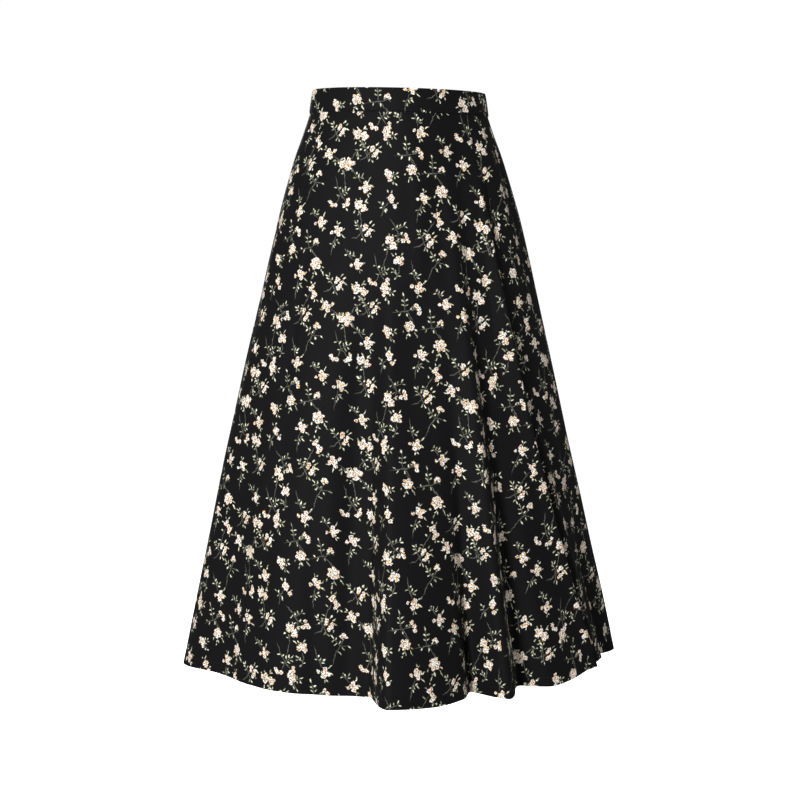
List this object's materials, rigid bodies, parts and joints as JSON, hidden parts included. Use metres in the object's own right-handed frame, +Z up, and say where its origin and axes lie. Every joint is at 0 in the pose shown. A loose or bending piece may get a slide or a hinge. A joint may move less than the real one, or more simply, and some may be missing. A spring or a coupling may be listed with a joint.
{
  "type": "a-line skirt",
  "caption": "Long a-line skirt of dark ditsy-floral cloth, hollow and filled out as worn, with a plain waistband and a flared hem that hangs in soft folds.",
  "frame": {"origin": "centre of the waist opening, level with the middle of the waistband's top edge", "axes": "+Z up the wearer, -Y the wearer's front, +X the wearer's left"},
  "size_m": [0.6226, 0.5338, 0.8116],
  "materials": {
    "printed_cloth": "soft matte satin, near-black with a small cream and green ditsy floral print",
    "band_cloth": "the same printed cloth, doubled over interfacing"
  },
  "bodies": {
    "root": {"front_panel": "printed_cloth", "back_panel": "printed_cloth", "waistband_front": "band_cloth", "waistband_back": "band_cloth"}
  },
  "joints": []
}
